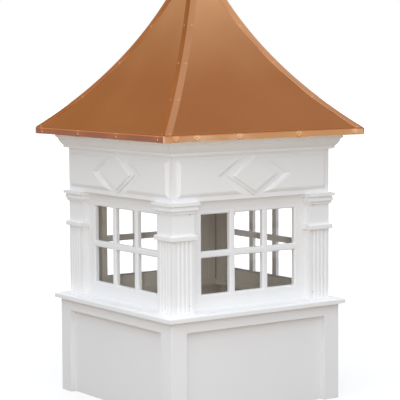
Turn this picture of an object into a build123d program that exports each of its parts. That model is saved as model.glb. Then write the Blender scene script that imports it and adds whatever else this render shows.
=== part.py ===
from build123d import *
import os
from math import atan2, cos, hypot, radians, sin, sqrt

# Barn cupola: a square louvre-box shaped lantern that stands on a roof ridge or kerb. From the ground up it
# has a panelled base box, a sill moulding, a glazed storey with fluted corner pilasters, a frieze with raised
# panels and diamonds, a crown moulding, and a concave hipped roof of sheet copper on a boarded deck.
# Millimetres, +Z up, origin at the centre of the underside. "half" sizes run from the centre line to a face.
# The front looks along -Y.

# Base box
base_half = 508.0               # outer face of the corner boards
base_height = 483.0
base_board_width = 90.0
base_board_thickness = 29.0     # how far the boards stand out from the panels
base_rail_height = 57.0
base_panel_thickness = 18.0

# Sill moulding on the base box
sill_overhang = 25.0
sill_thickness = 27.0
sill_ledge = 12.0               # how far the sill reaches inside the window walls
sill_step = 3.0                 # height of the bead along the top
sill_step_setback = 14.0        # from the nose to the bead
sill_nose_radius = 7.0
sill_bead_round = 1.5
mitre_gap = 0.4                 # hairline joint between mitred lengths

# Window storey
storey_setback = 70.0           # from the face of the base box to the face of the window walls
storey_height = 530.0           # sill top to the underside of the frieze
wall_thickness = 30.0
wall_joint = 8.0                # gap between two walls at a corner, behind the pilaster

# Windows: one fixed sash a side, three panes wide and two high
glazed_margin = 66.0            # from the pilaster to the outermost panes
glazed_bottom = 77.0            # above the sill
glazed_head = 68.5              # below the frieze
sash_width = 23.0               # frame round the panes
pane_columns = 3
pane_rows = 2
muntin_width = 32.0
pane_round = 9.0                # rounded edge round each pane
glass_setback = 24.0            # from the sash's face to the glass
glass_thickness = 4.0
glass_rebate = 8.0              # how far the glass reaches into the sash

# Corner pilasters
pilaster_stand_out = 35.0       # in front of the wall board
pilaster_width = 125.0
band_height = 25.0
band_bottom = 350.0             # above the sill
band_overhang = 14.0
flute_count = 4
flute_pitch = 24.0
flute_first = 27.0              # corner to the first flute's centre line
flute_width = 15.0
flute_depth = 4.0
band_round = 7.0                # top edge
band_foot_round = 2.0

# Pilaster capital: projections measured from the shaft, depths from the underside of the frieze
slab_overhang = 22.0
slab_foot = 15.0
quirk_overhang = 11.0           # groove under the slab
quirk_foot = 19.0
step_overhang = 15.0
step_swell = 1.5                # swell of the step's face
step_foot = 38.0
cove_lip = 10.0                 # projection at the cove's upper edge
cove_waist = 6.0                # and at its lower edge
cove_hollow = 1.5
cove_foot = 47.0
bead_overhang = 8.0
bead_foot = 54.0

# Frieze
frieze_stand_out = 34.0         # in front of the wall board
frieze_height = 291.0           # up to the eave, behind the crown moulding
relief_centre = 112.0           # above the frieze's lower edge
diamond_half_width = 152.0
diamond_half_height = 97.0
diamond_edge_riser = 6.0
diamond_edge_shoulder = 11.0
diamond_edge_top = 9.0
diamond_field_inset = 13.0
diamond_field_riser = 14.0
diamond_field_shoulder = 7.0
diamond_field_top = 18.0
panel_setback = 28.0            # from the corner to the panel's outer end
panel_height = 173.0
panel_gap = 48.0                # from the diamond to the notch, measured level
panel_edge_riser = 4.0
panel_edge_shoulder = 11.0
panel_edge_top = 10.0
panel_field_inset = 13.0
panel_field_arris = 1.0
panel_field_top = 12.0

# Crown moulding, projections measured from the frieze
crown_height = 71.0
crown_foot = 21.0               # bottom fillet
crown_fillet_height = 13.0
crown_waist = 41.0              # top of the round
crown_waist_height = 46.0
crown_round = 3.0               # swell of the round
crown_cove = 2.5                # hollow of the small cove
crown_top = 51.0                # fascia
crown_fascia_height = 17.0

# Eave and roof
eave_overhang = 120.0           # from the frieze to the copper's edge
soffit_thickness = 14.0
deck_thickness = 12.0
deck_joint = 3.0                # gap left between deck boards at the hips
copper_thickness = 2.0
eave_slope = 40.0               # degrees
roof_height = 897.5             # from the soffit to where the deck's inner faces meet
drip_thickness = 2.5
drip_kick = 1.5                 # outward lean of the drip edge at its foot
hip_cap_width = 38.0            # each leg, measured level
hip_cap_thickness = 2.0
apex_cap_half = 52.0
apex_cap_thickness = 3.0
apex_half = 14.0                # where the sweep stops
apex_point = 34.0               # height of the pyramid that closes the top
apex_taper = 19.0               # lean of its sides, degrees

# Levels and faces that follow from the sizes above
sill_top = base_height + sill_thickness
frieze_bottom = sill_top + storey_height
frieze_top = frieze_bottom + frieze_height
soffit_top = frieze_top + soffit_thickness
panel_face = base_half - base_board_thickness
wall_half = base_half - storey_setback
wall_inner = wall_half - wall_thickness
sill_half = base_half + sill_overhang
sill_inner_half = wall_inner - sill_ledge
pilaster_half = wall_half + pilaster_stand_out
frieze_half = wall_half + frieze_stand_out
eave_half = frieze_half + eave_overhang
glazed_width = 2 * (pilaster_half - pilaster_width - glazed_margin)
glazed_height = storey_height - glazed_bottom - glazed_head
glass_face = wall_half - glass_setback
relief_level = frieze_bottom + relief_centre
# The deck's inner face is one arc from the eave to the centre line, and every layer of the roof shares its centre.
deck_radius = hypot(eave_half, roof_height) / 2 / sin(atan2(roof_height, eave_half) - radians(eave_slope))
roof_radius = deck_radius - deck_thickness - copper_thickness
sweep_across = eave_half + deck_radius * sin(radians(eave_slope))
sweep_up = soffit_top + deck_radius * cos(radians(eave_slope))
reach = 2 * sweep_up            # clear of the whole model

SIDES = ("front", "right", "back", "left")
CORNERS = ("front_left", "front_right", "back_right", "back_left")
# Section plane of the front side: local x is the distance out from the centre line, local y the height.
SECTION = Plane(origin=(0, 0, 0), x_dir=(0, -1, 0), z_dir=(-1, 0, 0))
# Face plane of the front side: local x runs to the right, local y is the height, and out is towards -Y.
FACE = Plane(origin=(0, 0, 0), x_dir=(1, 0, 0), z_dir=(0, -1, 0))


def area(x0, y0, x1, y1):
    """Rectangle between two corners."""
    return Pos((x0 + x1) / 2, (y0 + y1) / 2) * Rectangle(x1 - x0, y1 - y0)


def around(shape):
    """Four copies of a front or front-left shape, one to a side or corner."""
    return [Rot(0, 0, 90 * turn) * shape for turn in range(4)]


def on_face(sketch, out, thickness):
    """Slab with a front view's outline, from a distance out from the centre line."""
    return extrude(FACE * (Pos(0, 0, out) * sketch), thickness)


def front_sector(joint=0.0):
    """Space between the diagonals that bound the front side, less half a joint at each."""
    back = joint / sqrt(2)
    return extrude(Polygon((0, -back), (-reach, -reach - back), (reach, -reach - back), align=None), reach)


def mitred_length(section, joint=0.0):
    """Length of moulding along the front, mitred at both ends."""
    return extrude(SECTION * section, reach, both=True) & front_sector(joint)


def corner_casing(outer, inner, width, bottom, top):
    """L-shaped casing round the front-left corner, between two half sizes."""
    plan = area(-outer, -outer, width - outer, width - outer) - area(-inner, -inner, 0, 0)
    return extrude(Pos(0, 0, bottom) * plan, top - bottom)


def base_panel():
    """Flat board of the base box, mitred to its neighbours."""
    return mitred_length(area(panel_face - base_panel_thickness, 0, panel_face, base_height))


def base_post():
    """Corner board wrapped round the base box."""
    return corner_casing(base_half, panel_face, base_board_width, 0, base_height)


def base_rail():
    """Rail between two corner boards, under the sill."""
    run = base_half - base_board_width
    return on_face(area(-run, base_height - base_rail_height, run, base_height), panel_face, base_board_thickness)


def outer_top(section):
    """Outermost upper corner of a section."""
    return section.vertices().group_by(Axis.X)[-1].sort_by(Axis.Y)[-1]


def sill():
    """Length of sill with a rounded nose under a set-back bead."""
    nose = area(sill_inner_half, base_height, sill_half, sill_top - sill_step)
    nose = fillet(outer_top(nose), sill_nose_radius)
    bead = area(sill_inner_half, base_height, sill_half - sill_step_setback, sill_top)
    bead = fillet(outer_top(bead), sill_bead_round)
    return mitred_length(nose + bead, mitre_gap)


def window_wall():
    """Wall board from the sill to the soffit, with its window opening cut through."""
    board = mitred_length(area(wall_inner, sill_top, wall_half, frieze_top), wall_joint)
    return board - on_face(window_outline(sash_width), 0, reach)


def window_outline(margin):
    """Rectangle round all the panes, grown by a margin."""
    half = glazed_width / 2 + margin
    low = sill_top + glazed_bottom - margin
    return area(-half, low, half, low + glazed_height + 2 * margin)


def window_sash():
    """Fixed sash: a sheet with six panes cut through, rounded edges round them and a rebate for the glass."""
    sheet = on_face(window_outline(sash_width), wall_inner, wall_thickness)
    column_pitch = (glazed_width + muntin_width) / pane_columns
    row_pitch = (glazed_height + muntin_width) / pane_rows
    pane = Rectangle(column_pitch - muntin_width, row_pitch - muntin_width)
    middle = sill_top + glazed_bottom + glazed_height / 2
    for place in GridLocations(column_pitch, row_pitch, pane_columns, pane_rows):
        sheet -= on_face(Pos(0, middle) * place * pane, 0, reach)
    front = sheet.faces().sort_by(Axis.Y)[0]
    sheet = fillet(front.inner_wires().edges(), pane_round)
    return sheet - on_face(window_outline(glass_rebate), 0, glass_face)


def window_glass():
    """Sheet of glass in the sash's rebate, behind the muntins."""
    return on_face(window_outline(glass_rebate), glass_face - glass_thickness, glass_thickness)


def pilaster_shaft():
    """Corner casing, fluted below the band and plain above it."""
    shaft = corner_casing(pilaster_half, wall_half, pilaster_width, sill_top, frieze_bottom)
    radius = (flute_width ** 2 / 4 + flute_depth ** 2) / (2 * flute_depth)
    out = pilaster_half + radius - flute_depth
    for flute in range(flute_count):
        along = pilaster_half - flute_first - flute * flute_pitch
        for x, y in ((-along, -out), (-out, -along)):
            shaft -= Pos(x, y, sill_top) * extrude(Circle(radius), band_bottom)
    return shaft


def pilaster_moulding(section):
    """Moulding wrapped round the pilaster's two faces and two sides, from wall to wall."""
    far = pilaster_half
    near = pilaster_half - pilaster_width
    path = Polyline((-near, -wall_half), (-near, -far), (-far, -far), (-far, -near), (-wall_half, -near))
    start = Plane(origin=(-near, -wall_half, 0), x_dir=(1, 0, 0), z_dir=(0, -1, 0))
    return sweep(start * section, path, transition=Transition.RIGHT)


def pilaster_band():
    """Rounded band between the fluted and the plain shaft."""
    bottom = sill_top + band_bottom
    section = area(0, bottom, band_overhang, bottom + band_height)
    section = fillet(section.vertices().group_by(Axis.X)[-1].sort_by(Axis.Y)[-1], band_round)
    return pilaster_moulding(fillet(section.vertices().group_by(Axis.X)[-1].sort_by(Axis.Y)[0], band_foot_round))


def pilaster_capital():
    """Capital: a slab over a quirk, a step with a swelled face, a cove and a bead."""
    slab = area(0, frieze_bottom - slab_foot, slab_overhang, frieze_bottom)
    quirk = area(0, frieze_bottom - quirk_foot, quirk_overhang, frieze_bottom - slab_foot)
    step_top = (quirk_overhang, frieze_bottom - quirk_foot)
    step_low = (step_overhang, frieze_bottom - step_foot)
    lip = (cove_lip, frieze_bottom - step_foot)
    waist = (cove_waist, frieze_bottom - cove_foot)
    flats = Polyline(waist, (0, waist[1]), (0, step_top[1]), step_top) + Line(step_low, lip)
    curves = SagittaArc(step_top, step_low, step_swell) + SagittaArc(lip, waist, cove_hollow)
    bead = area(0, frieze_bottom - bead_foot, bead_overhang, frieze_bottom - cove_foot)
    bead = fillet(bead.vertices().group_by(Axis.X)[-1], (bead_foot - cove_foot) / 3)
    return pilaster_moulding(slab + quirk + make_face(flats + curves) + bead)


def frieze_board():
    """Flat board over the windows and capitals, up to the eave."""
    return mitred_length(area(wall_half, frieze_bottom, frieze_half, frieze_top))


def tier(outline, inset, riser, shoulder, top):
    """One tier of a raised panel on the frieze: a riser all round, then a sloped shoulder up to a flat top."""
    foot = offset(outline, -inset, kind=Kind.INTERSECTION)
    crest = offset(outline, -inset - shoulder, kind=Kind.INTERSECTION)
    ground, level, peak = (FACE * Pos(0, 0, frieze_half + height) for height in (0, riser, top))
    return extrude(ground * foot, riser) + loft([level * foot, peak * crest], ruled=True)


def frieze_diamond():
    """Raised diamond of two tiers in the middle of the frieze."""
    wide, tall = diamond_half_width, diamond_half_height
    outline = Pos(0, relief_level) * Polygon((-wide, 0), (0, -tall), (wide, 0), (0, tall), align=None)
    edge = tier(outline, 0, diamond_edge_riser, diamond_edge_shoulder, diamond_edge_top)
    return edge + tier(outline, diamond_field_inset, diamond_field_riser, diamond_field_shoulder, diamond_field_top)


def frieze_panel():
    """Raised panel right of the diamond, notched to follow it."""
    end = frieze_half - panel_setback
    half = panel_height / 2
    notch = diamond_half_width + panel_gap
    mouth = notch - half * diamond_half_width / diamond_half_height
    outline = Polygon((end, -half), (end, half), (mouth, half), (notch, 0), (mouth, -half), align=None)
    outline = Pos(0, relief_level) * outline
    edge = tier(outline, 0, panel_edge_riser, panel_edge_shoulder, panel_edge_top)
    field_riser = panel_field_top - panel_field_arris
    return edge + tier(outline, panel_field_inset, field_riser, panel_field_arris, panel_field_top)


def crown_moulding():
    """Length of crown moulding: bottom fillet, round, small cove and fascia."""
    foot = frieze_top - crown_height
    ledge = (frieze_half + crown_foot, foot + crown_fillet_height)
    waist = (frieze_half + crown_waist, foot + crown_waist_height)
    lip = (frieze_half + crown_top, frieze_top - crown_fascia_height)
    flats = Polyline((lip, (lip[0], frieze_top), (frieze_half, frieze_top), (frieze_half, foot), (ledge[0], foot), ledge))
    outline = flats + SagittaArc(ledge, waist, -crown_round) + SagittaArc(waist, lip, crown_cove)
    return mitred_length(make_face(outline), mitre_gap)


def soffit():
    """Board that closes the eave over the wall, the frieze and the crown moulding."""
    plan = Rectangle(2 * eave_half, 2 * eave_half) - Rectangle(2 * wall_inner, 2 * wall_inner)
    return extrude(Pos(0, 0, frieze_top) * plan, soffit_thickness)


def sweep_height(half, above):
    """Height of the roof's sweep at a distance from the centre line, for a layer above the copper's face."""
    return sweep_up - sqrt((roof_radius - above) ** 2 - (sweep_across - half) ** 2)


def roof_layer(lower, upper, outer, inner):
    """Section of a layer of the roof, between two heights above the copper's face and two half widths."""
    ring = Circle(roof_radius - lower) - Circle(roof_radius - upper)
    return (Pos(sweep_across, sweep_up) * ring) & area(inner, soffit_top, outer, sweep_up)


def roof_deck():
    """Curved deck board that stands on the soffit."""
    return mitred_length(roof_layer(-copper_thickness - deck_thickness, -copper_thickness, eave_half, apex_half),
                         deck_joint)


def roof_panel():
    """Sheet of copper on the deck, meeting its neighbours under the hip caps."""
    return mitred_length(roof_layer(-copper_thickness, 0, eave_half, apex_half))


def hip_cap():
    """Folded copper strip over the front-left hip, from the eave to the apex cap."""
    strip = extrude(SECTION * roof_layer(0, hip_cap_thickness, eave_half, apex_cap_half), reach, both=True)
    plan = Polygon((0, 0), (-reach, -reach), (hip_cap_width - reach, -reach), (hip_cap_width, 0), align=None)
    leg = strip & extrude(plan, reach)
    return leg + mirror(leg, Plane(origin=(0, 0, 0), z_dir=(1, -1, 0)))


def drip_edge():
    """Copper strip round the eave, leaning out a little at its foot."""
    top = sweep_height(eave_half, 0)
    face = eave_half + drip_thickness
    section = Polygon((eave_half, frieze_top), (face + drip_kick, frieze_top), (face, top), (eave_half, top),
                      align=None)
    front, right, back, left = around(mitred_length(section))
    return front + right + back + left


def apex_cap():
    """Copper cap that closes the top, ending in a small pyramid."""
    front, right, back, left = around(mitred_length(roof_layer(0, apex_cap_thickness, apex_cap_half, apex_half)))
    low = sweep_height(apex_half, 0)
    high = sweep_height(apex_half, apex_cap_thickness)
    square = Rectangle(2 * apex_half, 2 * apex_half)
    plug = Pos(0, 0, low) * extrude(square, high - low)
    point = Pos(0, 0, high) * extrude(square, apex_point, taper=apex_taper)
    return front + right + back + left + plug + point


def export(name, *shapes):
    """One STEP file for a node, with one solid for each of its pieces."""
    solids = [solid for shape in shapes for solid in shape.solids()]
    export_step(Compound(children=solids) if len(solids) > 1 else solids[0], f"parts/{name}.step")


os.makedirs("parts", exist_ok=True)

for base, wall, sash, frieze, copper, side in zip(
        around(base_panel()), around(window_wall()), around(window_sash()), around(frieze_board()),
        around(roof_panel()), SIDES):
    export(f"base_panel_{side}", base)
    export(f"window_wall_{side}", wall)
    export(f"window_sash_{side}", sash)
    export(f"frieze_board_{side}", frieze)
    export(f"roof_panel_{side}", copper)

for post, shaft, cap, corner in zip(around(base_post()), around(pilaster_shaft()), around(hip_cap()), CORNERS):
    export(f"base_post_{corner}", post)
    export(f"pilaster_shaft_{corner}", shaft)
    export(f"hip_cap_{corner}", cap)

panel = frieze_panel()
export("base_rails", *around(base_rail()))
export("sill", *around(sill()))
export("window_glass", *around(window_glass()))
export("pilaster_bands", *around(pilaster_band()))
export("pilaster_capitals", *around(pilaster_capital()))
export("frieze_diamonds", *around(frieze_diamond()))
export("frieze_panels", *around(panel), *around(mirror(panel, Plane.YZ)))
export("crown_moulding", *around(crown_moulding()))
export("soffit", soffit())
export("roof_deck", *around(roof_deck()))
export("drip_edge", drip_edge())
export("apex_cap", apex_cap())
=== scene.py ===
from math import atan2, cos, hypot, pi, radians, sin

import bmesh
import bpy
import numpy as np
from mathutils import Matrix, Vector


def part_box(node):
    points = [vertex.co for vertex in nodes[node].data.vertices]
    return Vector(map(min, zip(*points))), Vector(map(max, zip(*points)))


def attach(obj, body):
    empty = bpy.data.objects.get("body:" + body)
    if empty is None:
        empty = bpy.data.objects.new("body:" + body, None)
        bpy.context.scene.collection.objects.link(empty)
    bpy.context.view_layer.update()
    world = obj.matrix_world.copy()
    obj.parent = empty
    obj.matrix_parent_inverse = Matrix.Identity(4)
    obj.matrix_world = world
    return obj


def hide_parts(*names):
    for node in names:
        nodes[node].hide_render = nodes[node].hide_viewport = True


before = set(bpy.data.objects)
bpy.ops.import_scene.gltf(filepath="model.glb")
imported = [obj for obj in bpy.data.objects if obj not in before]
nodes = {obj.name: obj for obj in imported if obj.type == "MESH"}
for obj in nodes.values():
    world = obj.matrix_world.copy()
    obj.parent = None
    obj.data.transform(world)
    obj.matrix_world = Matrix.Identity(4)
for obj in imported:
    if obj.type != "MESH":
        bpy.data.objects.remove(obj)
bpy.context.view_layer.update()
scene = bpy.context.scene

# Base box. Flat boards of cellular vinyl close the four sides, and thicker corner boards and top rails are
# glued and pinned over their joints. The sheet is white right through. Its satin skin keeps faint lengthways
# lines from the rollers, and saws and routers leave every arris a little eased.
board_arris = 0.0009
arris_bend = 35.0
board_white = (0.925, 0.925, 0.923, 1)
board_grey = (0.91, 0.91, 0.908, 1)
back_light = (0.71, 0.63, 0.51, 1)
back_dark = (0.67, 0.59, 0.47, 1)
back_margin = 0.0005
board_roughness = 0.42
cloud_scale = 3.0
line_scale = (150.0, 150.0, 6.0)
line_strength = 0.04
line_depth = 0.0006
merge_distance = 1e-6
flat_turn = 0.2


def tree_maker(tree, output_kind):
    """Two functions for a node tree: make adds a node, and end links a shader to the output.

    make takes the node's kind, its first sockets in order, and other sockets or properties by name. A value
    may be a number, a colour, a node (its first output) or a pair of node and output name."""
    def plug(socket, value):
        if isinstance(value, tuple) and isinstance(value[0], bpy.types.Node):
            tree.links.new(value[0].outputs[value[1]], socket)
        elif isinstance(value, bpy.types.Node):
            tree.links.new(value.outputs[0], socket)
        else:
            socket.default_value = value

    def make(kind, *values, **settings):
        node = tree.nodes.new("ShaderNode" + kind)
        for socket, value in zip(node.inputs, values):
            plug(socket, value)
        for key, value in settings.items():
            if key.replace("_", " ") in node.inputs:
                plug(node.inputs[key.replace("_", " ")], value)
            else:
                setattr(node, key, value)
        return node

    def end(shader):
        plug(make(output_kind).inputs["Surface"], shader)
    return make, end


def new_material(name):
    """An empty node material with its make and end functions."""
    material = bpy.data.materials.new(name)
    material.use_nodes = True
    material.node_tree.nodes.clear()
    return material, *tree_maker(material.node_tree, "OutputMaterial")


def blend_of(make, factor, low, high):
    """A colour that goes from low to high with a factor."""
    ramp = make("ValToRGB", factor)
    ramp.color_ramp.elements[0].color = low
    ramp.color_ramp.elements[1].color = high
    return ramp


def distances(make, place):
    """A place's distances from the centre line in x and in y."""
    axes = make("SeparateXYZ", place)
    return [make("Math", (axes, axis), operation="ABSOLUTE") for axis in "XY"]


def vinyl_material(name, back_half):
    """Satin vinyl with a cloudy tone and fine lines along the boards.

    It is coloured a darker taupe where the greater of the distances from the centre line in x and in y is
    less than back_half."""
    material, make, end = new_material(name)
    place = (make("TexCoord"), "Object")
    cloud = make("TexNoise", Vector=place, Scale=cloud_scale, Detail=2.0)
    stretched = make("Mapping", Vector=place, Scale=line_scale)
    lines = make("TexNoise", Vector=stretched, Scale=1.0, Detail=2.0)
    farther = make("Math", *distances(make, place), operation="MAXIMUM")
    back = make("Math", farther, back_half, operation="LESS_THAN")
    face = blend_of(make, cloud, board_grey, board_white)
    colour = make("MixRGB", back, face, blend_of(make, cloud, back_dark, back_light))
    relief = make("Bump", Strength=line_strength, Distance=line_depth, Height=lines)
    end(make("BsdfPrincipled", Base_Color=colour, Roughness=board_roughness, Normal=relief))
    return material


def eased(name, material, arris=board_arris):
    """Make a board or moulding: the CAD node's own shape, merged, with its sharp arrises eased.

    Edges that turn by less than arris_bend degrees belong to a round and are shaded smooth."""
    shape = bmesh.new()
    shape.from_mesh(nodes[name].data)
    bmesh.ops.remove_doubles(shape, verts=shape.verts, dist=merge_distance)
    bmesh.ops.dissolve_limit(shape, angle_limit=radians(flat_turn), verts=shape.verts, edges=shape.edges)
    mesh = bpy.data.meshes.new(name + "_eased")
    shape.to_mesh(mesh)
    shape.free()
    mesh.materials.clear()
    mesh.materials.append(material)
    mesh.shade_smooth()
    mesh.set_sharp_from_angle(angle=radians(arris_bend))
    piece = bpy.data.objects.new(name + "_eased", mesh)
    scene.collection.objects.link(piece)
    bevel = piece.modifiers.new("arris", "BEVEL")
    bevel.width = arris
    bevel.segments = 2
    bevel.limit_method = "ANGLE"
    bevel.angle_limit = radians(arris_bend)
    flats = piece.modifiers.new("flats", "WEIGHTED_NORMAL")
    flats.keep_sharp = True
    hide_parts(name)
    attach(piece, "root")


base_vinyl = vinyl_material("base_vinyl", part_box("base_panel_right")[0].x + back_margin)
for name in nodes:
    if name.startswith("base"):
        eased(name, base_vinyl)

# Sill and window storey. Mitred lengths of vinyl sill carry four walls of the same board. Each wall is cut
# out for a fixed sash of six panes. Indoors the boards are coloured a darker taupe, and two narrow strips of
# it line each corner. Where they meet, a brown bead is painted shade, standing for the dark gap in the
# inside corner.
wall_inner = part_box("window_wall_right")[0].x
wall_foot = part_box("window_wall_right")[0].z
lining_width = 0.051
lining_thickness = 0.003
lining_ease = 0.0006
lining_clearance = 0.002
lining_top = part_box("window_wall_right")[1].z - lining_clearance
lining_face = wall_inner - lining_thickness
bead_leg = 0.006
bead_points = 5
# Painted shade: the bead's browns stand for the dark gap where the corner strips meet.
corner_shade_light = (0.42, 0.29, 0.12, 1)
corner_shade_dark = (0.30, 0.19, 0.07, 1)
piece_bend = 40.0
corners = ("front_left", "front_right", "back_right", "back_left")
wall_vinyl = vinyl_material("wall_vinyl", wall_inner + back_margin)
sash_vinyl = vinyl_material("sash_vinyl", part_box("window_glass")[1].x + back_margin)
for name in nodes:
    if name.startswith(("sill", "window_wall", "window_sash")):
        eased(name, sash_vinyl if "sash" in name else wall_vinyl)


def turned(points, quarters):
    """Points of the front, turned about the vertical axis by quarter turns towards the right."""
    angle = quarters * pi / 2
    spin = np.array([[cos(angle), sin(angle), 0], [-sin(angle), cos(angle), 0], [0, 0, 1]])
    return points @ spin


def grid_faces(rows, columns, ring=False):
    """Corner numbers of a grid's faces, row by row. A ring joins each row's last point to its first."""
    row, column = np.meshgrid(np.arange(rows - 1), np.arange(columns - 1 + ring), indexing="ij")
    next_row, next_column = row + 1, (column + 1) % columns
    grid_corners = (row * columns + column, row * columns + next_column, next_row * columns + next_column,
                    next_row * columns + column)
    return np.stack(grid_corners, -1).reshape(-1, 4).tolist()


def tube_faces(rows, columns):
    """Faces of a grid whose rows are closed loops, with a face over the first loop and one over the last."""
    first, last = list(range(columns - 1, -1, -1)), list(range((rows - 1) * columns, rows * columns))
    return grid_faces(rows, columns, ring=True) + [first, last]


def new_piece(name, points, faces, material, slot):
    """A piece of the object from points and lists of corner numbers. Edges that turn by less than piece_bend
    degrees are shaded smooth."""
    mesh = bpy.data.meshes.new(name)
    mesh.from_pydata(points.reshape(-1, 3).tolist(), [], faces)
    mesh.shade_smooth()
    mesh.set_sharp_from_angle(angle=radians(piece_bend))
    mesh.materials.append(material)
    piece = bpy.data.objects.new(name, mesh)
    scene.collection.objects.link(piece)
    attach(piece, "root")
    return piece


def new_tube(name, points, material, slot):
    """A closed piece from rows of points, where each row is a loop."""
    return new_piece(name, points, tube_faces(*points.shape[:2]), material, slot)


def upright(plan, bottom, top):
    """A loop in plan, counterclockwise, carried straight up from bottom to top."""
    return np.array([[(x, y, level) for x, y in plan] for level in (bottom, top)])


def lining_plan():
    """Plan of the front-left corner's two strips as one L, with the front edge of each strip eased."""
    edge = wall_inner - lining_width
    leg = [(-edge, -wall_inner), (-edge, -lining_face - lining_ease), (-edge - lining_ease, -lining_face)]
    other_leg = [(y, x) for x, y in leg[::-1]]
    return [(-wall_inner, -wall_inner)] + leg + [(-lining_face, -lining_face)] + other_leg


def bead_plan():
    """Plan of the bead in the same corner: its face is hollow, a quarter of a circle of radius bead_leg."""
    angles = np.linspace(0, pi / 2, bead_points)
    arc = [(bead_leg * (1 - sin(angle)), bead_leg * (1 - cos(angle))) for angle in angles]
    return [(-lining_face, -lining_face)] + [(x - lining_face, y - lining_face) for x, y in arc]


def corner_shade_material():
    """Painted shade of the dark gap in an inside corner: brown, set in soft lumps."""
    material, make, end = new_material("brown_adhesive")
    lumps = make("TexNoise", Vector=(make("TexCoord"), "Object"), Scale=60.0, Detail=2.0)
    colour = blend_of(make, lumps, corner_shade_dark, corner_shade_light)
    relief = make("Bump", Strength=0.3, Distance=0.002, Height=lumps)
    end(make("BsdfPrincipled", Base_Color=colour, Roughness=0.35, Normal=relief))
    return material


corner_shade = corner_shade_material()
for quarter, corner in enumerate(corners):
    for name, plan, material, slot in (("corner_lining_", lining_plan(), wall_vinyl, "white_vinyl"),
                                       ("corner_shade_bead_", bead_plan(), corner_shade, None)):
        points = turned(upright(plan, wall_foot, lining_top), quarter)
        new_tube(name + corner, points, material, slot)

# Window glass. One clear float sheet a side lies in the sash's rebate. It is thin enough not to bend what is
# seen through it, so it only mirrors a little, more at a glancing angle.
glass_index = 1.45
glass_roughness = 0.03


def glass_material():
    """Clear where the light enters or leaves, with a mirror on the front face by Fresnel's law."""
    material, make, end = new_material("window_glass")
    facing = make("Math", 1.0, (make("NewGeometry"), "Backfacing"), operation="SUBTRACT")
    share = make("Math", make("Fresnel", glass_index), facing, operation="MULTIPLY")
    mirror = make("BsdfGlossy", Roughness=glass_roughness)
    end(make("MixShader", share, make("BsdfTransparent"), mirror))
    return material


nodes["window_glass"].data.materials.clear()
nodes["window_glass"].data.materials.append(glass_material())

# Pilasters, frieze and crown. Fluted corner casings with capitals and bands, frieze boards with raised
# diamonds and panels, and a crown moulding under the soffit, are all cut from the same vinyl and glued on. On
# the front and back a small steel pin shows at the head and foot of each casing's innermost flute.
glued_arris = 0.0003
casing_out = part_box("pilaster_shaft_front_left")[0].y
flute_depth = 0.004
pin_across = 0.374
pin_levels = (0.547, 0.982)
pin_radius = 0.0024
pin_height = 0.0008
# Pin heads: their near-black colour is painted shade of the holes the pins are sunk in, over dull steel.
pin_shade_colour = (0.035, 0.03, 0.025, 1)
dome_around = 12
dome_rings = 5
dome_reach = radians(75)
dome_sink = 0.3
dome_side_on = 0.9
for name in nodes:
    if name.startswith(("frieze_board", "crown")):
        eased(name, wall_vinyl, glued_arris)
    elif name.startswith(("pilaster", "frieze", "soffit")):
        eased(name, wall_vinyl)


def domes(centres, normals, radius, height):
    """Round heads on a surface: level rings of a flattened half sphere, closed over the first and the last.

    The ring at an angle up the sphere is radius times its cosine wide, and stands height times its sine up,
    less dome_sink of the height, which sinks the foot into the surface. Rings start square to the x axis, or
    to the y axis where the surface faces along x."""
    around = np.linspace(0, 2 * pi, dome_around, endpoint=False)[:, None]
    polar = np.linspace(0, dome_reach, dome_rings)[:, None, None]
    axis = np.where(np.abs(normals[:, :1]) > dome_side_on, [[0, 1.0, 0]], [[1.0, 0, 0]])
    start = np.cross(axis, normals)
    start /= np.linalg.norm(start, axis=1, keepdims=True)
    centre, up, start = (vectors[:, None, None] for vectors in (centres, normals, start))
    ring = start * np.cos(around) + np.cross(up, start) * np.sin(around)
    points = centre + ring * (radius * np.cos(polar)) + up * (height * (np.sin(polar) - dome_sink))
    firsts = range(0, len(centres) * dome_rings * dome_around, dome_rings * dome_around)
    faces = [[corner + first for corner in face] for first in firsts
             for face in tube_faces(dome_rings, dome_around)]
    return points, faces


def pin_shade_material():
    """Near-black, dull steel: painted shade of the hole each pin is sunk in, over its steel head."""
    material, make, end = new_material("pin_steel")
    end(make("BsdfPrincipled", Base_Color=pin_shade_colour, Roughness=0.5))
    return material


pin_steel = pin_shade_material()
pin_centres = np.array([[across, casing_out + sunk, level] for across in (-pin_across, pin_across)
                        for sunk, level in zip((flute_depth, 0), pin_levels)])
pin_facing = np.tile([[0.0, -1.0, 0.0]], (len(pin_centres), 1))
for quarter, side in ((0, "front"), (2, "back")):
    heads, faces = domes(turned(pin_centres, quarter), turned(pin_facing, quarter), pin_radius, pin_height)
    new_piece("casing_pins_" + side, heads, faces, pin_steel, None)

# Roof deck and sheets. Four plywood decks, bent to one sweep, carry one soft copper sheet each. The mill's
# satin face has gone brown evenly, and every sheet lies flat but for a faint swell. Each sheet's colour is
# painted darker towards the eave and lighter towards the top: painted reflection, since the upper sweep
# mirrors brighter surroundings.
deck_thickness = 0.012
copper_thickness = 0.002
roof_height = 0.8975
eave_slope = radians(40.0)
sheet_gauge = 0.0016
sheet_swell = 0.0004
sheet_waves = (5.0, 4.0)
sheet_shifts = (1.7, 0.9)
sheet_lines = 97
sheet_top_half = 0.014
copper_edge = (1.0, 0.72, 0.5, 1)
gloss_spread = 0.03
sides = ("front", "right", "back", "left")
eave_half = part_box("roof_deck")[1].x
eave_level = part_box("soffit")[1].z
tone_levels = (eave_level + 0.25, eave_level + 0.7)
tone_range = (0.1, 0.9)
deck_radius = hypot(eave_half, roof_height) / 2 / sin(atan2(roof_height, eave_half) - eave_slope)
sweep_radius = deck_radius - deck_thickness - copper_thickness
sweep_out = eave_half + deck_radius * sin(eave_slope)
sweep_up = eave_level + deck_radius * cos(eave_slope)


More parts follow.
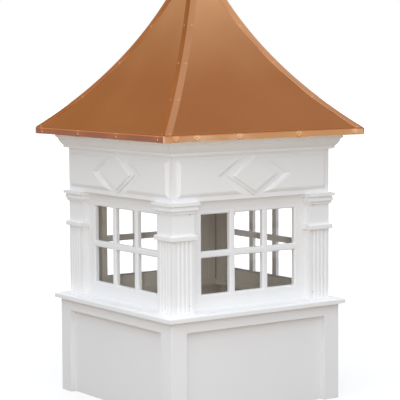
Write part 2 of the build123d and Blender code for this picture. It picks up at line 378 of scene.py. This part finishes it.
def slope_at(half):
    """Slope of the copper's sweep at a distance from the centre line, in radians."""
    return np.arcsin((sweep_out - half) / sweep_radius)


def on_sweep(slope, above):
    """Half width and height on the sweep, a circle: the point at that slope, raised square to it by above."""
    radius = sweep_radius - above
    return sweep_out - radius * np.sin(slope), sweep_up - radius * np.cos(slope)


def copper_material(name, low, high, roughness, wave, depth, patches=0.3, patch_scale=3.0, painted_sides=None,
                    fold=None):
    """Copper that goes from the colour low near the eave to high near the top, with cloudy patches of either.

    Its surface rolls in waves of that many to the metre and that depth, and its gloss changes with them. The
    pair of side colours is for the left and right sides, where x is farther from the centre line than y:
    painted shade, darker where a side faces darker surroundings.
    Above the fold's level the metal has the fold's colour."""
    material, make, end = new_material(name)
    place = (make("TexCoord"), "Object")
    height = (make("SeparateXYZ", place), "Z")
    climb = make("MapRange", height, *tone_levels, *tone_range)
    stain = make("TexNoise", Vector=place, Scale=patch_scale, Detail=3.0, Roughness=0.45)
    drift = make("MapRange", stain, 0.0, 1.0, -patches, patches)
    tone = make("Math", climb, drift, operation="ADD")
    colour = blend_of(make, tone, low, high)
    if painted_sides:
        side = make("Math", *distances(make, place), operation="GREATER_THAN")
        colour = make("MixRGB", side, colour, blend_of(make, tone, *painted_sides))
    if fold:
        fold_level, fold_colour = fold
        folded = make("Math", height, fold_level, operation="GREATER_THAN")
        colour = make("MixRGB", folded, colour, fold_colour)
    roll = make("TexNoise", Vector=place, Scale=wave, Detail=1.0)
    gloss = make("MapRange", roll, 0.0, 1.0, roughness - gloss_spread, roughness + gloss_spread)
    relief = make("Bump", Strength=1.0, Distance=depth, Height=roll)
    end(make("BsdfPrincipled", Base_Color=colour, Roughness=gloss, Metallic=1.0, Normal=relief,
             Specular_Tint=copper_edge))
    return material


def roof_sheet(quarter):
    """One side's sheet: level lines across the sweep, from hip to hip. Its swell is a sine wave up the sheet
    times a cosine wave across it, each shifted from side to side, and it dies out at all four edges."""
    upward, sideways = np.linspace(0, 1, sheet_lines), np.linspace(-1, 1, sheet_lines)
    climb, across = np.meshgrid(upward, sideways, indexing="ij")
    slope = slope_at(eave_half) + (slope_at(sheet_top_half) - slope_at(eave_half)) * climb
    up_phase, across_phase = (shift * quarter for shift in sheet_shifts)
    wave = np.sin(sheet_waves[0] * climb + up_phase) * np.cos(sheet_waves[1] * across + across_phase)
    swell = sheet_swell * (1 + wave) * (1 - across ** 4) * np.sin(pi * climb)
    half, height = on_sweep(slope, swell)
    return turned(np.stack((across * half, -half, height), -1), quarter)


# Painted reflection: the low colour near the eave is darker and the high one near the top lighter, as the
# upper sweep mirrors brighter surroundings.
sheet_copper = copper_material("sheet_copper", low=(0.686, 0.292, 0.130, 1), high=(0.80, 0.43, 0.225, 1),
                               roughness=0.24, wave=3.0, depth=0.0004)
for quarter, side in enumerate(sides):
    points = roof_sheet(quarter)
    faces = grid_faces(*points.shape[:2])
    piece = new_piece("copper_sheet_" + side, points, faces, sheet_copper, "copper")
    gauge = piece.modifiers.new("gauge", "SOLIDIFY")
    gauge.thickness = sheet_gauge
    gauge.offset = -1
    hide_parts("roof_panel_" + side)


def plywood_material():
    """Bare plywood with a brown grain that runs level."""
    material, make, end = new_material("deck_plywood")
    stretched = make("Mapping", Vector=(make("TexCoord"), "Object"), Scale=(4.0, 4.0, 60.0))
    grain = make("TexNoise", Vector=stretched, Scale=2.0, Detail=4.0)
    colour = blend_of(make, grain, (0.42, 0.28, 0.15, 1), (0.60, 0.43, 0.25, 1))
    end(make("BsdfPrincipled", Base_Color=colour, Roughness=0.8))
    return material


nodes["roof_deck"].data.materials.clear()
nodes["roof_deck"].data.materials.append(plywood_material())

# Hip caps. A folded copper strip covers each hip, with its fold standing a little off the sheets and its legs
# riveted down in pairs. Between rivets the free edges lift a trifle.
cap_leg = 0.038
cap_gauge = 0.0012
cap_clearance = 0.0003
cap_rise = 0.0022
cap_fold = 0.08
cap_edge_lift = 0.0008
cap_rows = 161
cap_columns = 41
cap_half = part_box("apex_cap")[1].x
rivet_inset = 0.026
rivet_first = 0.010
rivet_pitch = 0.218
rivet_radius = 0.0040
rivet_height = 0.0022
rivet_colour = (0.93, 0.66, 0.48, 1)
eave_angle, cap_angle = slope_at(eave_half), slope_at(cap_half)
# The side colours are painted shade: legs on the left and right sides are darker, for the darker surroundings
# they face.
cap_copper = copper_material("hip_cap_copper", low=(0.87, 0.46, 0.26, 1), high=(0.67, 0.33, 0.16, 1),
                             roughness=0.31, wave=8.0, depth=0.0003,
                             painted_sides=((0.69, 0.28, 0.11, 1), (0.45, 0.175, 0.06, 1)))
rivet_copper = copper_material("rivet_copper", low=rivet_colour, high=rivet_colour,
                               roughness=0.20, wave=8.0, depth=0.0001)


def hip_cap():
    """The front-left strip: a loop over the fold and back under it, carried up the sweep.

    Across the strip, reach goes from -1 at the left leg's edge over 0 at the fold to 1 at the front leg's
    edge. The fold's rise falls off along a hyperbola, and the edges' lift is a cosine wave between rivets."""
    over = np.linspace(-1, 1, cap_columns)
    reach = np.concatenate((over, over[::-1]))
    upper = np.arange(2 * cap_columns) < cap_columns
    slope, reach = np.meshgrid(np.linspace(eave_angle, cap_angle, cap_rows), reach, indexing="ij")
    run = sweep_radius * (slope - eave_angle)
    tent = 1 - (np.hypot(reach, cap_fold) - cap_fold) / (hypot(1, cap_fold) - cap_fold)
    between = 0.5 - 0.5 * np.cos(2 * pi * (run - rivet_first) / rivet_pitch)
    lift = cap_edge_lift * between * np.abs(reach) ** 3
    half, height = on_sweep(slope, cap_clearance + cap_rise * tent + lift + cap_gauge * upper)
    front, left = cap_leg * np.maximum(reach, 0), cap_leg * np.maximum(-reach, 0)
    return np.stack((front - half, left - half, height), -1)


def hip_rivets():
    """Centres and directions of the front-left strip's rivets: the same row up the front leg and the left."""
    runs = np.arange(rivet_first, sweep_radius * (cap_angle - eave_angle), rivet_pitch)
    slope = eave_angle + runs / sweep_radius
    half, height = on_sweep(slope, cap_gauge + cap_rise * (1 - rivet_inset / cap_leg))
    centres = np.stack((rivet_inset - half, -half, height), -1)
    facing = np.stack((0 * slope, -np.sin(slope), np.cos(slope)), -1)
    return [np.concatenate((front_leg, front_leg[:, [1, 0, 2]])) for front_leg in (centres, facing)]


rivet_centres, rivet_facing = hip_rivets()
for quarter, corner in enumerate(corners):
    piece = new_tube("hip_strip_" + corner, turned(hip_cap(), quarter), cap_copper, "copper")
    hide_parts("hip_cap_" + corner)
    heads, faces = domes(turned(rivet_centres, quarter), turned(rivet_facing, quarter), rivet_radius,
                         rivet_height)
    new_piece("hip_rivets_" + corner, heads, faces, rivet_copper, "copper")

# Drip edge. A copper strip a side is folded over the eave and down its edge, with a hem at the foot, and
# nailed through the face. Each nail draws the soft strip in, and it stands out a little in between. The front
# and back strips are folded round the corners over the side ones. The side strips are a darker, browner copy
# of the front ones' copper: painted shade, for the darker surroundings they face.
strip_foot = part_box("drip_edge")[0].z
strip_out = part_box("drip_edge")[1].x
strip_top = on_sweep(eave_angle, 0.0)[1]
strip_wave = 0.0022
strip_dent = 0.0040
dent_spread = 0.009
strip_lift = 0.0008
lift_waves = (23.0, 9.0)
lift_shift = 2.0
strip_columns = 281
flange_reach = 0.003
flange_levels = (0.0002, 0.0014)
fold_share = 0.6
fold_drop = 0.002
fold_size = (0.0025, 0.0034)
fold_points = 5
face_points = 13
hem_points = 7
hem_radius = 0.0013
hem_level = 0.0015
back_out = 0.0004
back_foot = 0.010
back_drop = 0.004
nail_level = 0.013
nail_sunk = 0.002
nail_radius = 0.0036
nail_height = 0.0022
front_nails = (-0.532, -0.414, -0.169, 0.186, 0.541)
left_nails = (-0.532, -0.175, 0.179, 0.535)
rubbed_depth = 0.005
rubbed_colour = (0.55, 0.225, 0.09, 1)
rubbed_fold = (strip_top - rubbed_depth, rubbed_colour)
# Lit and shaded copies of one copper: the front strips' brighter colours are the lit copy, and the side
# strips' darker, browner colours are painted shade.
painted_lit_copper = copper_material("bright_strip_copper", low=(0.54, 0.28, 0.13, 1), high=(0.74, 0.50, 0.37, 1),
                                roughness=0.22, wave=12.0, depth=0.0004, patches=1.5, patch_scale=3.6,
                                fold=rubbed_fold)
painted_shaded_copper = copper_material("brown_strip_copper", low=(0.29, 0.12, 0.085, 1), high=(0.38, 0.15, 0.06, 1),
                               roughness=0.32, wave=12.0, depth=0.0004, patches=1.5, patch_scale=5.0,
                               fold=rubbed_fold)


def strip_section():
    """Loop round the strip's section as distance from the eave edge and height: over the flange on the roof,
    round the fold, a quarter of an ellipse, down the face, round the hem and back behind."""
    out = strip_out - eave_half
    fold, hem = np.linspace(pi / 2, 0, fold_points)[:-1], np.linspace(0, -pi, hem_points)[1:]
    bend = (fold_share * out - fold_size[0] * (1 - np.cos(fold)),
            strip_top - fold_drop + fold_size[1] * np.sin(fold))
    face = (np.linspace(fold_share * out, out, face_points),
            np.linspace(strip_top - fold_drop, strip_foot + hem_level, face_points))
    curl = (out - hem_radius + hem_radius * np.cos(hem), strip_foot + hem_level + hem_radius * np.sin(hem))
    low, high = [[-flange_reach, on_sweep(slope_at(eave_half - flange_reach), above)[1]]
                 for above in flange_levels]
    back = [[back_out, strip_foot + back_foot], [back_out, strip_top - back_drop]]
    return np.concatenate(([high], *(np.stack(line, -1) for line in (bend, face, curl)), back, [low]))


def drip_strip(spots, quarter):
    """The front's strip: its section carried along x, mitred at both ends. The face swells between nails by a
    cosine wave, more towards the foot, and each nail draws it in by a round dent. Its foot rises and falls by
    the product of two sine waves."""
    out, up = strip_section().T
    x = np.linspace(-1, 1, strip_columns)[:, None] * (eave_half + out)
    gaps = np.array((-eave_half, *spots, eave_half))
    place = np.clip(np.searchsorted(gaps, x) - 1, 0, len(gaps) - 2)
    share = np.clip((x - gaps[place]) / (gaps[place + 1] - gaps[place]), 0, 1)
    depth = np.clip((strip_top - up) / (strip_top - strip_foot), 0, 1)
    away = np.min([(x - spot) ** 2 for spot in spots], axis=0) + (up - strip_foot - nail_level) ** 2
    bulge = strip_wave * (0.5 - 0.5 * np.cos(2 * pi * share)) * depth
    dent = strip_dent * np.exp(-away / (2 * dent_spread ** 2))
    push = (bulge - dent) * (out > back_out) * (depth > 0)
    ripple = np.sin(lift_waves[0] * x + lift_shift * quarter) * np.sin(lift_waves[1] * x)
    lift = strip_lift * ripple * depth ** 2
    return turned(np.stack((x, -(eave_half + out + push), up + lift), -1), quarter)


for quarter, side in enumerate(sides):
    spots, copper = (front_nails, painted_lit_copper) if quarter % 2 == 0 else (left_nails, painted_shaded_copper)
    piece = new_tube("drip_strip_" + side, drip_strip(spots, quarter), copper, "copper")
    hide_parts("drip_edge")
    centres = np.array([[x, nail_sunk - strip_out, strip_foot + nail_level] for x in spots])
    facing = np.tile([[0.0, -1.0, 0.0]], (len(spots), 1))
    heads, faces = domes(turned(centres, quarter), turned(facing, quarter), nail_radius, nail_height)
    new_piece("drip_nails_" + side, heads, faces, rivet_copper, "copper")

# Folded tabs. The front and back strips end in a flap, bent round the corner and hammered flat, which leaves
# it a little duller than the strip.
tab_reach = 0.011
tab_gauge = 0.0009
tab_clearance = 0.0003
tab_lap = 0.002
tab_foot = 0.001
tab_copper = copper_material("tab_copper", low=(0.56, 0.33, 0.245, 1), high=(0.60, 0.36, 0.27, 1),
                             roughness=0.22, wave=12.0, depth=0.0004)


def tab_plan():
    """Plan of the front-left flap: a short lap on the front, round the corner and back along the side."""
    inner = strip_out + tab_clearance
    outer = inner + tab_gauge
    return [(-inner, -inner), (tab_lap - inner, -inner - tab_gauge / 2), (-inner, -outer), (-outer, -inner),
            (-outer, tab_reach - inner), (-inner, tab_reach - inner)]


for quarter, corner in enumerate(corners):
    points = upright(tab_plan()[::-1], strip_foot + tab_foot, strip_top)
    if quarter % 2:
        points = points[:, ::-1, [1, 0, 2]]
    new_tube("strip_tab_" + corner, turned(points, quarter), tab_copper, "copper")

# Apex cap. A folded copper cap closes the top, where the four hips meet, and ends in a small point.
apex_arris = 0.0010
eased("apex_cap", cap_copper, apex_arris)

# Studio. A pale floor under a dome that is dark at the horizon and brightest overhead, with three soft boxes
# on the camera's side. The floor throws a warm light back. To the camera, in metal and through glass, floor
# and horizon are white.
floor_half = 40.0
floor_bounce = (0.25, 0.195, 0.14, 1)
floor_white = (0.35, 0.35, 0.35, 1)
floor_glow = 0.62
floor_fade = (1.5, 5.0)
dome_light = 2.0
dome_fall = ((0.0, (0.0, 0.0, 0.0, 1)), (0.5, (0.323, 0.359, 0.411, 1)), (1.0, (0.957, 0.970, 1.0, 1)))
seen_lean = (-1.3, -1.0, 0.0)
seen_reach = (-0.42, -0.08)
seen_right = (0.60, 1.0)
seen_dark = (0.46, 0.415, 0.35, 1)
seen_bright = (1.0, 1.0, 1.0, 1)
seen_rise = (0.12, 0.32)
aim = Vector((0.0, 0.0, 1.0))
soft_boxes = (("left_box", (-4.6, -1.6, 2.6), 2.4, 37.0), ("front_box", (-0.6, -4.8, 2.6), 2.4, 29.0),
              ("low_box", (-3.4, -4.4, 1.3), 1.8, 58.0))
camera_place = (-4.6161, -6.5995, 1.7504)
camera_yaw = radians(-35.071)
camera_pitch = radians(-5.360)
camera_roll = radians(-0.335)
camera_lens = 143.43
camera_sensor = 36.0
camera_far = 100.0


def seen_rays(make):
    """1 for rays from the camera, from metal and through glass, and 0 for rays that light the object."""
    path = make("LightPath")
    direct = make("Math", (path, "Is Camera Ray"), (path, "Is Glossy Ray"), operation="MAXIMUM")
    return make("Math", direct, (path, "Is Transmission Ray"), operation="MAXIMUM")


def floor_material():
    """A matt floor that lights the object with its bounce. To seen rays it glows, up to white far away."""
    material, make, end = new_material("pale_floor")
    matt = make("BsdfDiffuse", floor_bounce)
    away = make("VectorMath", (make("TexCoord"), "Object"), operation="LENGTH")
    glow = make("MapRange", (away, "Value"), *floor_fade, floor_glow, 1.0)
    white = make("AddShader", make("BsdfDiffuse", floor_white), make("Emission", Strength=glow))
    end(make("MixShader", seen_rays(make), matt, white))
    return material


def fall_of(make, height, stops):
    """Light by height of the direction, straight between stops."""
    ramp = make("ValToRGB", height)
    elements = ramp.color_ramp.elements
    while len(elements) < len(stops):
        elements.new(0.5)
    for element, (place, light) in zip(elements, stops):
        element.position = place
        element.color = light
    return ramp


def studio_world():
    """A dome that lights the object by height. Seen rays meet white at the horizon instead, and above it a
    ceiling that is dark on one side and white on the camera's side and far to the right."""
    world = bpy.data.worlds.new("studio")
    world.use_nodes = True
    world.node_tree.nodes.clear()
    make, end = tree_maker(world.node_tree, "OutputWorld")
    direction = (make("TexCoord"), "Generated")
    axes = make("SeparateXYZ", direction)
    height = (axes, "Z")
    lean = make("VectorMath", direction, seen_lean, operation="DOT_PRODUCT")
    near = make("MapRange", (lean, "Value"), *seen_reach, 0.0, 1.0, interpolation_type="SMOOTHSTEP")
    right = make("MapRange", (axes, "X"), *seen_right, 0.0, 1.0, interpolation_type="SMOOTHSTEP")
    ceiling = blend_of(make, make("Math", near, right, operation="MAXIMUM"), seen_dark, seen_bright)
    backdrop = make("MixRGB", make("MapRange", height, *seen_rise, 0.0, 1.0), (1, 1, 1, 1), ceiling)
    lit = make("Background", fall_of(make, height, dome_fall), dome_light)
    end(make("MixShader", seen_rays(make), lit, make("Background", backdrop, 1.0)))
    return world


floor_mesh = bpy.data.meshes.new("floor")
floor_corners = [(-floor_half, -floor_half, 0), (floor_half, -floor_half, 0), (floor_half, floor_half, 0),
                 (-floor_half, floor_half, 0)]
floor_mesh.from_pydata(floor_corners, [], [(0, 1, 2, 3)])
floor_mesh.materials.append(floor_material())
floor = bpy.data.objects.new("floor", floor_mesh)
scene.collection.objects.link(floor)
scene.world = studio_world()

for name, place, size, power in soft_boxes:
    light = bpy.data.lights.new(name, "AREA")
    light.shape = "SQUARE"
    light.size = size
    light.energy = power
    box = bpy.data.objects.new(name, light)
    scene.collection.objects.link(box)
    box.location = place
    box.visible_glossy = False
    box.rotation_euler = (aim - box.location).to_track_quat("-Z", "Y").to_euler()

camera_data = bpy.data.cameras.new("camera")
camera_data.lens = camera_lens
camera_data.sensor_width = camera_sensor
camera_data.clip_end = camera_far
camera = bpy.data.objects.new("camera", camera_data)
scene.collection.objects.link(camera)
turn = Matrix.Rotation(camera_yaw, 4, "Z") @ Matrix.Rotation(pi / 2 + camera_pitch, 4, "X")
turn = turn @ Matrix.Rotation(camera_roll, 4, "Z")
camera.matrix_world = Matrix.Translation(camera_place) @ turn
scene.camera = camera
scene.view_settings.view_transform = "Standard"
